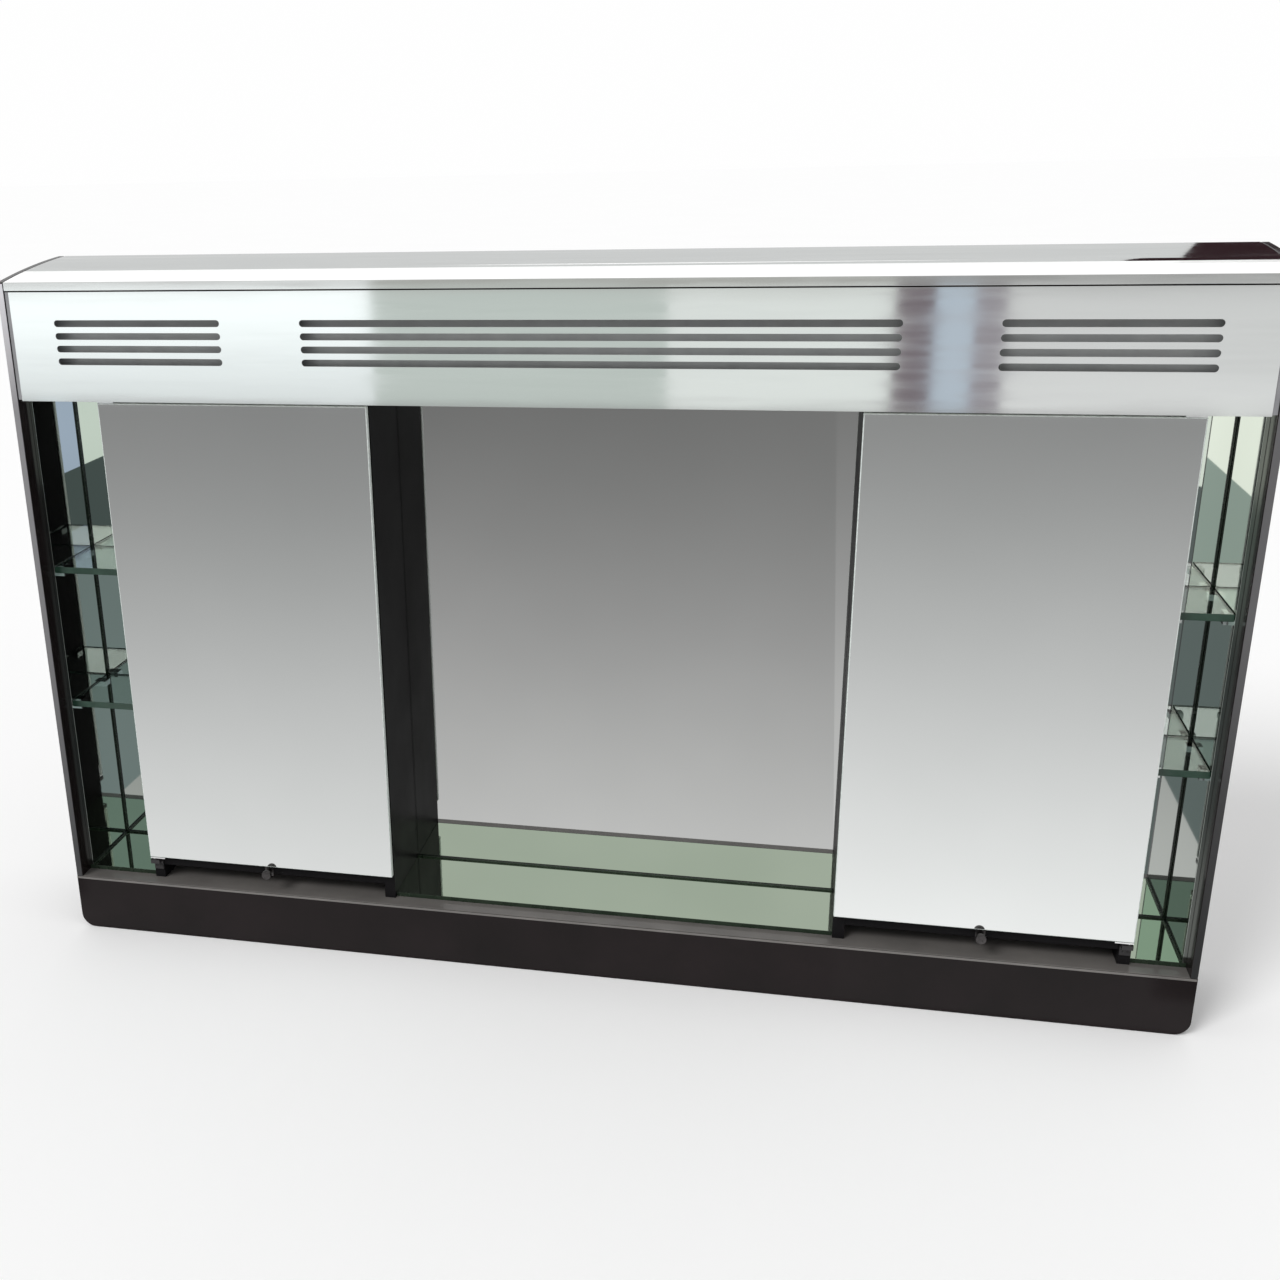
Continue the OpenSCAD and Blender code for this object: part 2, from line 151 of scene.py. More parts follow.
def painted_reflection_strip(name, stops):
    """A satin strip whose grey follows its height: a painted reflection, lighter or darker by height. stops
    are (height as a share of STRIP_SPAN, grey).
    """
    mat, tree, shader = new_material(name)
    share = tree.nodes.new("ShaderNodeMath")
    share.operation = "MULTIPLY"
    share.inputs[1].default_value = 1 / STRIP_SPAN
    ramp = tree.nodes.new("ShaderNodeValToRGB")
    points = ramp.color_ramp.elements
    points[0].position, points[1].position = stops[0][0], stops[-1][0]
    for height, _ in stops[1:-1]:
        points.new(height)
    for point, (_, grey) in zip(points, stops):
        point.color = (*(grey * part for part in STRIP_TINT), 1)
    tree.links.new(own_axis(tree, "Z"), share.inputs[0])
    tree.links.new(share.outputs["Value"], ramp.inputs["Fac"])
    tree.links.new(ramp.outputs["Color"], shader.inputs["Base Color"])
    along = (1, 1, 0.1)
    tree.links.new(spread_value(tree, noise(tree, 60, along), 0.3, 0.45), shader.inputs["Roughness"])
    add_bump(tree, shader, noise(tree, 500, along), 0.15, 0.0002)
    return mat


LACQUER_BUMP = dict(bump=0.25, bump_scale=420, bump_depth=0.00012)
CASE = surface("case_lacquer", (0.009, 0.007, 0.007), (0.014, 0.01, 0.0105), (0.16, 0.24), scale=14,
               Specular_IOR_Level=0.14, **LACQUER_BUMP)
# A pale brown for the top of the base, its rounded front edge and the box soles: painted highlight and
# painted reflection, far lighter than the near-black case lacquer
PAINTED_TOP_HIGHLIGHT = surface("base_top_painted_highlight", (0.125, 0.118, 0.112), (0.165, 0.155, 0.146), (0.09, 0.16), scale=26,
                   Specular_IOR_Level=0.6, **LACQUER_BUMP)
BOX = surface("box_lacquer", (0.009, 0.0086, 0.0092), (0.012, 0.0115, 0.0122), (0.3, 0.42), scale=16,
              Specular_IOR_Level=0.015, **LACQUER_BUMP)
BOARD = surface("inner_board", (0.05, 0.036, 0.026), (0.085, 0.06, 0.042), (0.55, 0.75), scale=9,
                stretch=(1, 8, 8), bump=0.4, bump_scale=160, bump_stretch=(1, 9, 9))
DOOR_SILVER = surface("door_silver", (0.86, 0.88, 0.87), (0.9, 0.92, 0.91), (0.012, 0.03), scale=5,
                      Metallic=1.0)
BACK_SILVER = surface("back_silver", (0.6, 0.605, 0.595), (0.64, 0.645, 0.635), (0.012, 0.03), scale=5,
                      Metallic=1.0)
FLOOR_SILVER = surface("floor_silver", (0.74, 0.88, 0.7), (0.79, 0.92, 0.74), (0.012, 0.03), scale=5,
                       Metallic=1.0)
SIDE_SILVER = surface("side_silver", (0.52, 0.56, 0.52), (0.56, 0.6, 0.56), (0.012, 0.03), scale=5,
                      Metallic=1.0)
MIRROR_PAINT = surface("mirror_back_paint", (0.13, 0.1, 0.085), (0.17, 0.135, 0.115), (0.45, 0.6), scale=40,
                       bump=0.3, bump_scale=500)
GROUND_EDGE = surface("ground_edge", (0.62, 0.68, 0.65), (0.8, 0.85, 0.82), (0.28, 0.4), scale=300,
                      bump=0.3, bump_scale=900, bump_depth=0.0001, Transmission_Weight=0.15)
POLISHED = surface("polished_steel", (0.8, 0.81, 0.8), (0.85, 0.86, 0.85), (0.04, 0.09), scale=24,
                   stretch=(0.4, 5, 5), bump=0.015, bump_scale=4, bump_stretch=(2.0, 1, 1.0),
                   bump_depth=0.0012, Metallic=1.0)
# Greys by height for the side panels' front edge strips: painted reflection
EDGE_PAINTED_REFLECTIONS = {"left": painted_reflection_strip("left_edge_painted_reflection", [(0.1, 0.04), (0.4, 0.15), (0.72, 0.22), (0.86, 0.6)]),
         "right": painted_reflection_strip("right_edge_painted_reflection", [(0.1, 0.012), (0.3, 0.03), (0.5, 0.09), (0.8, 0.1)])}
CHROME = surface("bright_metal", (0.8, 0.8, 0.8), (0.88, 0.88, 0.88), (0.05, 0.12), scale=220,
                 Metallic=1.0)
KNOB = surface("knob_plating", (0.06, 0.056, 0.056), (0.1, 0.094, 0.094), (0.26, 0.36), scale=260,
               bump=0.1, bump_scale=900, Metallic=1.0)
DARK_STEEL = surface("blackened_steel", (0.012, 0.011, 0.012), (0.022, 0.02, 0.021), (0.35, 0.5), scale=160,
                     bump=0.3, bump_scale=600)
ZINC = surface("zinc_steel", (0.42, 0.42, 0.41), (0.56, 0.56, 0.54), (0.3, 0.45), scale=160,
               bump=0.3, bump_scale=600, Metallic=1.0)
GREY_STEEL = surface("grey_steel", (0.3, 0.31, 0.31), (0.36, 0.37, 0.37), (0.4, 0.55), scale=50,
                     bump=0.2, bump_scale=500)
JOINT = surface("joint_strip", (0.2, 0.2, 0.21), (0.26, 0.26, 0.27), (0.4, 0.55), scale=50,
                bump=0.2, bump_scale=500)
WHITE_STEEL = surface("white_steel", (0.8, 0.8, 0.76), (0.86, 0.86, 0.82), (0.3, 0.42), scale=40,
                      bump=0.2, bump_scale=500)
OPAL = surface("opal_plastic", (0.84, 0.84, 0.8), (0.9, 0.9, 0.86), (0.35, 0.5), scale=30,
               bump=0.2, bump_scale=900, Subsurface_Weight=0.3)
WHITE_PLASTIC = surface("white_plastic", (0.74, 0.74, 0.7), (0.82, 0.82, 0.78), (0.35, 0.5), scale=60,
                        bump=0.15, bump_scale=700)
SHELF = surface("shelf_glass", (0.86, 0.95, 0.9), (0.9, 0.97, 0.93), (0.01, 0.03), scale=8,
                Transmission_Weight=1.0, IOR=1.5)
EDGE = surface("glass_edge", (0.012, 0.034, 0.022), (0.022, 0.055, 0.036), (0.12, 0.24), scale=60,
               bump=0.3, bump_scale=500, Coat_Weight=0.5, Coat_Roughness=0.1)
SEAM = surface("mirror_seam", (0.012, 0.022, 0.012), (0.022, 0.036, 0.022), (0.2, 0.35), scale=80,
               bump=0.3, bump_scale=600)
TUBE = surface("tube_glass", (0.86, 0.87, 0.84), (0.92, 0.93, 0.9), (0.1, 0.16), scale=20,
               Coat_Weight=0.7, Coat_Roughness=0.03)
SLOT_MATERIALS = {
    "case_lacquer": CASE, "box_lacquer": BOX, "inner_board": BOARD, "mirror_glass": BACK_SILVER,
    "polished_steel": POLISHED, "white_steel": WHITE_STEEL, "grey_steel": GREY_STEEL,
    "opal_plastic": OPAL, "tube_glass": TUBE, "zinc_steel": ZINC, "white_plastic": WHITE_PLASTIC,
    "shelf_glass": SHELF, "bright_metal": CHROME,
}


# ---------------------------------------------------------------- CAD nodes

def soften(obj, width, segments=2, corner_material=-1, join_flat=False):
    """Welds a mesh and rounds its edges a little. join_flat first makes one face of each flat side."""
    weld = obj.modifiers.new("weld", "WELD")
    weld.merge_threshold = 0.00001
    if join_flat:
        flat = obj.modifiers.new("flat", "DECIMATE")
        flat.decimate_type = "DISSOLVE"
        flat.angle_limit = math.radians(0.5)
    soft = obj.modifiers.new("bevel", "BEVEL")
    soft.width = width
    soft.segments = segments
    soft.limit_method = "ANGLE"
    soft.angle_limit = math.radians(40)
    soft.harden_normals = not join_flat
    soft.material = corner_material


PIERCED_SHEETS = ("hood_panel", "back_board")


def dress(node, mat, bevel=0.0):
    """Gives a CAD node its material and, if asked, softened edges."""
    obj = nodes[node]
    obj.data.materials.clear()
    obj.data.materials.append(mat)
    if bevel:
        soften(obj, bevel, join_flat=node in PIERCED_SHEETS)


BEVELS = {"case_lacquer": 0.8 * MM, "box_lacquer": 0.6 * MM, "mirror_glass": 0.3 * MM,
          "polished_steel": 0.35 * MM, "white_plastic": 0.5 * MM, "zinc_steel": 0.3 * MM,
          "inner_board": 0.5 * MM, "opal_plastic": 0.4 * MM}
OWN_FINISH = {"floor_mirror": FLOOR_SILVER, "left_side_mirror": SIDE_SILVER,
              "right_side_mirror": SIDE_SILVER, "left_pivot": DARK_STEEL, "right_pivot": DARK_STEEL}
for part in frame["record"]["subparts"]:
    slot = part["material_slot"]
    dress(part["node"], OWN_FINISH.get(part["node"], SLOT_MATERIALS[slot]), BEVELS.get(slot, 0.0))


# ---------------------------------------------------------------- mesh helpers

def link(obj):
    bpy.context.scene.collection.objects.link(obj)
    return obj


def add_piece(name, bm, mats, body, stands_for=()):
    """Turns a bmesh into a piece of the cabinet that rides on a body."""
    bmesh.ops.recalc_face_normals(bm, faces=bm.faces)
    mesh = bpy.data.meshes.new(name)
    bm.to_mesh(mesh)
    bm.free()
    for mat in mats:
        mesh.materials.append(mat)
    obj = link(bpy.data.objects.new(name, mesh))
    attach(obj, body)
    if stands_for:
        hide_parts(*stands_for)
    return obj


def add_box(bm, low, high, mat=0):
    """A box between two corners. Returns its faces."""
    centre = (Vector(low) + Vector(high)) / 2
    size = Vector(high) - Vector(low)
    made = bmesh.ops.create_cube(bm, size=1, matrix=Matrix.Translation(centre) @ Matrix.Diagonal((*size, 1)))
    faces = {face for vert in made["verts"] for face in vert.link_faces}
    for face in faces:
        face.material_index = mat
    return faces


def add_lathe(bm, profile, centre, axis, steps=48, mat=0):
    """Turns (radius, height) points about an axis. A radius of 0 at an end closes it there."""
    turn = Vector((0, 0, 1)).rotation_difference(Vector(axis)).to_matrix().to_4x4()
    place = Matrix.Translation(centre) @ turn
    rings = []
    for radius, height in profile:
        if radius == 0:
            rings.append([bm.verts.new(place @ Vector((0, 0, height)))])
            continue
        angles = [2 * math.pi * step / steps for step in range(steps)]
        rings.append([bm.verts.new(place @ Vector((radius * math.cos(a), radius * math.sin(a), height)))
                      for a in angles])
    for low, high in zip(rings, rings[1:]):
        for step in range(steps):
            after = (step + 1) % steps
            corners = [low[step % len(low)], low[after % len(low)],
                       high[after % len(high)], high[step % len(high)]]
            face = bm.faces.new(list(dict.fromkeys(corners)))
            face.smooth = True
            face.material_index = mat


def arc(centre, radius, start, stop, steps=6):
    """Points of a round corner in a (radius, height) outline, angles in degrees."""
    angles = [math.radians(start + (stop - start) * i / steps) for i in range(steps + 1)]
    return [(centre[0] + radius * math.cos(a), centre[1] + radius * math.sin(a)) for a in angles]


# ---------------------------------------------------------------- glass shelves

def glass_shelf(node):
    """A float-glass shelf: clear faces, and dark green where the light runs along the sheet."""
    low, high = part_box(node)
    bm = bmesh.new()
    for face in add_box(bm, low, high):
        face.normal_update()
        face.material_index = 0 if abs(face.normal.z) > 0.9 else 1
    soften(add_piece(f"{node}_glass", bm, [SHELF, EDGE], "case", [node]),
           0.6 * MM, 2, 1)


for side in ("left", "right"):
    for level in ("low", "high"):
        glass_shelf(f"{side}_{level}_shelf")
        glass_shelf(f"{side}_{level}_niche_shelf")


# ---------------------------------------------------------------- doors

KNOB_R = 4.5 * MM


def door_glass(side):
    """A frameless mirror: silvered front, painted back and a bright ground edge all round."""
    node = f"{side}_door_mirror"
    low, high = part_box(node)
    bm = bmesh.new()
    for face in add_box(bm, low, high):
        face.normal_update()
        face.material_index = 2 if abs(face.normal.y) < 0.9 else (0 if face.normal.y < 0 else 1)
    soften(add_piece(f"{side}_door_glass", bm, [DOOR_SILVER, MIRROR_PAINT, GROUND_EDGE], f"{side}_door",
                     [node]), 0.9 * MM, 2, 2)


def turned_knob(side):
    """A small turned knob with its angle behind the glass."""
    node = f"{side}_knob"
    low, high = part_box(node)
    glass_low, glass_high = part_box(f"{side}_door_mirror")
    middle = (low.x + high.x) / 2
    centre = Vector((middle, glass_low.y, low.z + KNOB_R))
    reach = glass_low.y - low.y
    crown = 1.4 * MM
    outline = [(0, 0), (2.2 * MM, 0), (2.2 * MM, reach - 5.6 * MM)]
    outline += [(2.6 * MM, reach - 4.9 * MM), (KNOB_R - 0.7 * MM, reach - 4.1 * MM)]
    outline += arc((KNOB_R - 0.7 * MM, reach - 3.4 * MM), 0.7 * MM, -90, 0)
    outline += arc((KNOB_R - crown, reach - crown), crown, 0, 72, 8)
    outline.append((0, reach))
    bm = bmesh.new()
    add_lathe(bm, outline, centre, (0, -1, 0))
    add_piece(f"{side}_turned_knob", bm, [KNOB], f"{side}_door", [node])
    half, sheet = 4 * MM, 1 * MM
    bm = bmesh.new()
    add_box(bm, (middle - half, glass_low.y, low.z), (middle + half, glass_low.y + sheet, glass_low.z))
    add_box(bm, (middle - half, glass_low.y, glass_low.z - sheet),
            (middle + half, glass_high.y + sheet, glass_low.z))
    add_box(bm, (middle - half, glass_high.y, glass_low.z - sheet), (middle + half, high.y, high.z))
    soften(add_piece(f"{side}_knob_angle", bm, [KNOB], f"{side}_door", [node]), 0.25 * MM)


for side in ("left", "right"):
    door_glass(side)
    turned_knob(side)


# ---------------------------------------------------------------- trims and seams on the case

case_low, case_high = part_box("base_board")
base_top = case_high.z
hood_low, hood_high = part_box("hood_panel")
lining_low, lining_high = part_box("floor_mirror")
side_mirror_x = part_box("right_side_mirror")[0].x


def bar(name, low, high, mat, bevel=0.3 * MM):
    """A straight strip with softened edges that belongs to the case."""
    bm = bmesh.new()
    add_box(bm, low, high)
    soften(add_piece(name, bm, [mat], "case"), bevel, 3)


def swept_profile(name, points, x0, x1, mat):
    """A closed outline in Y and Z drawn along X."""
    bm = bmesh.new()
    ends = [[bm.verts.new((x, y, z)) for y, z in points] for x in (x0, x1)]
    for i in range(len(points)):
        after = (i + 1) % len(points)
        bm.faces.new([ends[0][i], ends[0][after], ends[1][after], ends[1][i]])
    for end in ends:
        bm.faces.new(end)
    add_piece(name, bm, [mat], "case")


# Strips on the front edges of the side panels, whose grey changes with height: a painted reflection, light
# near the top and dark low down
panel_t = 6 * MM
skin = 0.35 * MM
strip_top = hood_high.z + 7 * MM
for side, outer in (("left", case_low.x), ("right", case_high.x)):
    inward = 1 if outer < 0 else -1
    x0, x1 = sorted((outer + inward * skin, outer + inward * (panel_t - skin)))
    bar(f"{side}_edge_strip", (x0, case_low.y - skin, base_top + 0.4 * MM),
        (x1, case_low.y + 0.2 * MM, strip_top), EDGE_PAINTED_REFLECTIONS[side], 0.15 * MM)

# Grey joint strips set back in the gaps between the ends of the hood and the side panels
joint_front, joint_back = hood_low.y + 0.8 * MM, hood_low.y + 2.2 * MM
for side, sign in (("left", -1), ("right", 1)):
    x0, x1 = sorted((sign * (hood_high.x + 0.2 * MM), sign * (case_high.x - panel_t - 0.3 * MM)))
    bar(f"{side}_hood_joint", (x0, joint_front, hood_low.z + 1 * MM), (x1, joint_back, hood_high.z),
        JOINT, 0.1 * MM)

# Lipping over the top front edge of the base board, in a pale brown that paints a highlight along the edge
# and a reflection on the top
lip_r, lip_drop, lip_sink, lip_end = 1.6 * MM, 2.2 * MM, 0.2 * MM, 0.5 * MM
front, back = case_low.y - skin, lining_low.y - 0.6 * MM
lip_top = base_top + skin
inner = case_low.y + 0.3 * MM
round_edge = [(front + lip_r - lip_r * math.cos(a), lip_top - lip_r + lip_r * math.sin(a))
              for a in map(math.radians, range(0, 91, 15))]
swept_profile("base_lipping",
              [(front, base_top - lip_drop)] + round_edge
              + [(back, lip_top), (back, base_top - lip_sink), (inner, base_top - lip_sink),
                 (inner, base_top - lip_drop)],
              case_low.x + lip_end, case_high.x - lip_end, PAINTED_TOP_HIGHLIGHT)

# The sole under each box, behind the lipping and in front of the plinth, in the same pale brown: a painted
# reflection on the dark lacquer
plinth_y = case_low.y + 45 * MM
for side in ("left", "right"):
    floor_low, floor_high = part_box(f"{side}_box_floor")
    bar(f"{side}_box_sole", (floor_low.x, back, base_top - 0.1 * MM), (floor_high.x, plinth_y, lip_top),
        PAINTED_TOP_HIGHLIGHT, 0.1 * MM)

# Dark lines where the mirrors meet: the ground front edge of the floor panes, the back and the sides
seam_t = 1.7 * MM
floor_top = lining_high.z
panes = [(lining_low.x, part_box("left_outer_flank")[0].x),
         (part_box("left_inner_flank")[1].x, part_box("right_inner_flank")[0].x),
         (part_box("right_outer_flank")[1].x, lining_high.x)]
for number, (x0, x1) in enumerate(panes):
    bar(f"floor_front_seam_{number}", (x0, lining_low.y - 0.5 * MM, base_top + 0.2 * MM),
        (x1, lining_low.y + 0.1 * MM, floor_top + 0.1 * MM), SEAM, 0.2 * MM)
    bar(f"floor_back_seam_{number}", (x0, lining_high.y - seam_t, floor_top),
        (x1, lining_high.y, floor_top + seam_t), SEAM, 0.5 * MM)
for side, face in (("left", -side_mirror_x), ("right", side_mirror_x)):
    inner = face - math.copysign(seam_t, face)
    x0, x1 = sorted((face, inner))
    bar(f"{side}_corner_seam", (x0, lining_high.y - seam_t, floor_top),
        (x1, lining_high.y, hood_low.z), SEAM, 0.5 * MM)
    bar(f"{side}_floor_seam", (x0, lining_low.y, floor_top),
        (x1, lining_high.y - seam_t, floor_top + seam_t), SEAM, 0.5 * MM)


# ---------------------------------------------------------------- screws

def add_screw(bm, place, axis, radius):
    """A domed slotted screw head: a low disc with two half domes that leave the slot between them."""
    deep, slot_half, sunk = radius * 0.45, radius * 0.16, 0.2 * MM
    turn = Vector((0, 0, 1)).rotation_difference(Vector(axis)).to_matrix().to_4x4()
    dome = [(radius, -sunk), (radius, deep * 0.3)]
    dome += arc((radius - deep * 0.7, deep * 0.3), deep * 0.7, 15, 90, 5)
    dome.append((0, deep))
    disc_r, disc_top = radius * 0.98, deep * 0.25
    add_lathe(bm, [(0, -sunk), (disc_r, -sunk), (disc_r, disc_top), (0, disc_top)], place, axis, 32)
    for sign in (-1, 1):
        half = bmesh.new()
        add_lathe(half, [(0, -sunk / 2)] + dome, (0, 0, 0), (0, 0, 1), 32)
        cut = bmesh.ops.bisect_plane(half, geom=half.verts[:] + half.edges[:] + half.faces[:],
                                     plane_co=(sign * slot_half, 0, 0), plane_no=(-sign, 0, 0),
                                     clear_outer=True)
        rim = [e for e in cut["geom_cut"] if isinstance(e, bmesh.types.BMEdge)]
        bmesh.ops.holes_fill(half, edges=rim)
        half.transform(Matrix.Translation(place) @ turn)
        mesh = bpy.data.meshes.new("half_head")
        half.to_mesh(mesh)
        half.free()
        bm.from_mesh(mesh)
        bpy.data.meshes.remove(mesh)


def screws(name, places, axis, radius, body, mat):
    """One piece that holds a group of like screws."""
    bm = bmesh.new()
    for place in places:
        add_screw(bm, place, axis, radius)
    add_piece(name, bm, [mat], body)


for side, sign in (("left", -1), ("right", 1)):
    pivot_low, pivot_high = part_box(f"{side}_pivot")
    pivot_mid = (pivot_low.x + pivot_high.x) / 2
    leaf_y = pivot_high.y - 1.5 * MM
    screws(f"{side}_pivot_screws",
           [(pivot_mid + shift * MM, leaf_y, pivot_low.z + 4.5 * MM) for shift in (-2.1, 2.1)],
           (0, -1, 0), 1.5 * MM, "case", DARK_STEEL)
    catch_low, catch_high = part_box(f"{side}_catch")
    face_x = catch_low.x if side == "left" else catch_high.x
    screws(f"{side}_catch_screws",
           [(face_x, catch_high.y - 11 * MM, z) for z in (catch_low.z + 6 * MM, catch_high.z - 6 * MM)],
           (sign, 0, 0), 2.2 * MM, "case", ZINC)


# ---------------------------------------------------------------- lamp tube

tube_low, tube_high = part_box("lamp_tube")
tube_mid = (tube_low + tube_high) / 2
pin_len, pin_r, pin_half = 7 * MM, 1.2 * MM, 6.35 * MM
tube_r = (tube_high.z - tube_low.z) / 2
tube_half = (tube_high.x - tube_low.x) / 2 - pin_len
cap_len = 14 * MM
bm = bmesh.new()
add_lathe(bm, [(0, -tube_half + 1 * MM), (tube_r - 0.6 * MM, -tube_half + 1 * MM),
               (tube_r - 0.6 * MM, tube_half - 1 * MM), (0, tube_half - 1 * MM)], tube_mid, (1, 0, 0))
for sign in (-1, 1):
    end = tube_mid + Vector((sign * tube_half, 0, 0))
    rim = 1.2 * MM
    cap = [(tube_r - 1.4 * MM, -cap_len), (tube_r - 0.2 * MM, -cap_len + 0.6 * MM),
           (tube_r, -cap_len + 1.4 * MM), (tube_r, -rim)]
    add_lathe(bm, cap + arc((tube_r - rim, -rim), rim, 0, 90, 4) + [(0, 0)], end, (sign, 0, 0), mat=1)
    for lift in (-pin_half, pin_half):
        add_lathe(bm, [(0, -0.5 * MM), (pin_r, -0.5 * MM), (pin_r, pin_len - 0.4 * MM),
                       (pin_r - 0.4 * MM, pin_len), (0, pin_len)],
                  end + Vector((0, 0, lift)), (sign, 0, 0), 16, 1)
add_piece("lamp_tube_glass", bm, [TUBE, CHROME], "case", ["lamp_tube"])


# ---------------------------------------------------------------- stage, light and camera

def stage_card(name, corners, place, turn, mat):
    """A flat rectangle that belongs to the studio and not to the cabinet. corners are x0, y0, x1, y1."""
    x0, y0, x1, y1 = corners
    mesh = bpy.data.meshes.new(name)
    mesh.from_pydata([(x0, y0, 0), (x1, y0, 0), (x1, y1, 0), (x0, y1, 0)], [], [(0, 1, 2, 3)])
    card = link(bpy.data.objects.new(name, mesh))
    card.location = place
    card.rotation_euler = [math.radians(a) for a in turn]
    card.data.materials.append(mat)
    return card


def seen_only(card, camera=False, glossy=False):
    """Limits which rays meet a card."""
    card.visible_camera = camera
    card.visible_glossy = glossy
    card.visible_diffuse = False
    card.visible_shadow = False
    card.visible_transmission = False
    card.visible_volume_scatter = False


def glow(name, colour):
    """A plain emission material, for cards that light nothing."""
    mat = bpy.data.materials.new(name)
    mat.use_nodes = True
    tree = mat.node_tree
    tree.nodes.clear()
    out = tree.nodes.new("ShaderNodeOutputMaterial")
    light = tree.nodes.new("ShaderNodeEmission")
    light.inputs["Color"].default_value = (*colour, 1)
    tree.links.new(light.outputs["Emission"], out.inputs["Surface"])
    return mat, tree, light


def fading_glow(name, near, far, reach):
    """Emission that falls from near towards far as exp(-distance / reach) along the card's own Y."""
    mat, tree, light = glow(name, (1, 1, 1))
    fade = tree.nodes.new("ShaderNodeMath")
    fade.operation = "POWER"
    fade.inputs[0].default_value = math.exp(-1 / reach)
    level = tree.nodes.new("ShaderNodeMath")
    level.operation = "MULTIPLY_ADD"
    level.inputs[1].default_value = near - far
    level.inputs[2].default_value = far
    tree.links.new(own_axis(tree, "Y"), fade.inputs[1])
    tree.links.new(fade.outputs["Value"], level.inputs[0])
    tree.links.new(level.outputs["Value"], light.inputs["Strength"])
    return mat


def footed_glow(name, colour, foot, height):
    """Emission that is foot times as strong at the card's lower edge and reaches full strength at height."""
    mat, tree, light = glow(name, colour)
    rise = tree.nodes.new("ShaderNodeMapRange")
    rise.interpolation_type = "SMOOTHSTEP"
    rise.inputs["From Max"].default_value = height
    rise.inputs["To Min"].default_value = foot
    tree.links.new(own_axis(tree, "Y"), rise.inputs["Value"])
    tree.links.new(rise.outputs["Result"], light.inputs["Strength"])
    return mat


def one_sided(name, colour):
    """Emission from the front of a card, whose back is clear."""
    mat, tree, light = glow(name, colour)
    facing = tree.nodes.new("ShaderNodeNewGeometry")
    clear = tree.nodes.new("ShaderNodeBsdfTransparent")
    mix = tree.nodes.new("ShaderNodeMixShader")
    out = next(node for node in tree.nodes if node.type == "OUTPUT_MATERIAL")
    tree.links.new(facing.outputs["Backfacing"], mix.inputs[0])
    tree.links.new(light.outputs["Emission"], mix.inputs[1])
    tree.links.new(clear.outputs["BSDF"], mix.inputs[2])
    tree.links.new(mix.outputs["Shader"], out.inputs["Surface"])
    return mat


GROUND_Z = cad_bounds[0].z - 0.5 * MM
HOOD_Y = hood_low.y
FLOOR = surface("studio_floor", (0.965, 0.965, 0.965), (0.972, 0.972, 0.972), (0.7, 0.8), scale=2,
                Specular_IOR_Level=0.0)
stage_card("studio_floor", (-40, -40, 40, 40), (0, 0, GROUND_Z), (0, 0, 0), FLOOR)

# What the mirrors see in front of the cabinet: a floor that grows dim with distance, brighter in
# front of the right door, and the far side of a room in upright bands.
FLOOR_REACH, RIGHT_DOOR_X = 4, 0.213
FLOOR_GLOWS = [  # name, left end along the card, lift, brightness near and far, and how fast it fades
    ("reflected_floor", FLOOR_REACH, 2 * MM, 0.88, 0.235, 0.84),
    ("reflected_floor_right", -RIGHT_DOOR_X, 3 * MM, 1.02, 0.235, 0.98)]
for name, end, lift, near, far, fade_length in FLOOR_GLOWS:
    seen_only(stage_card(name, (-FLOOR_REACH, 0, end, FLOOR_REACH), (0, HOOD_Y - 2 * MM, GROUND_Z + lift),
                         (0, 0, 180), fading_glow(name, near, far, fade_length)), glossy=True)

ROOM_Y = -2.5
BAND_FOOT, BAND_SPLIT, BAND_TOP = 0.07, 0.366, 0.8
SHORT_RISE, LONG_RISE = 0.16, 0.3
ROOM_BANDS = [  # left edge, right edge, colour, how bright the foot is and where that ends
    (-5.0, -0.95, (1.22, 1.29, 1.3), 0.72, LONG_RISE), (-0.95, -0.2, (0.6, 0.66, 0.63), 1.0, SHORT_RISE),
    (-0.2, 0.33, (0.84, 0.88, 0.86), 1.05, SHORT_RISE), (0.33, 0.42, (0.21, 0.18, 0.2), 1.0, SHORT_RISE),
    (0.42, 0.51, (0.53, 0.61, 0.7), 1.0, SHORT_RISE), (0.51, 0.58, (0.35, 0.33, 0.36), 1.0, SHORT_RISE),
    (0.58, 5.0, (0.72, 0.73, 0.73), 1.16, SHORT_RISE)]
UPPER_BANDS = [(-5.0, -0.95, (0.72, 0.73, 0.73)), (-0.95, 0.33, (0.46, 0.46, 0.44)),
               (0.33, 5.0, (0.36, 0.36, 0.355))]
for number, (left, right, colour, foot, rise) in enumerate(ROOM_BANDS):
    name = f"room_band_{number}"
    seen_only(stage_card(name, (left, 0, right, BAND_SPLIT - BAND_FOOT), (0, ROOM_Y, BAND_FOOT), (90, 0, 0),
                         footed_glow(name, colour, foot, rise)), glossy=True)
for number, (left, right, colour) in enumerate(UPPER_BANDS):
    name = f"upper_band_{number}"
    seen_only(stage_card(name, (left, 0, right, BAND_TOP - BAND_SPLIT), (0, ROOM_Y, BAND_SPLIT), (90, 0, 0),
                         glow(name, colour)[0]), glossy=True)

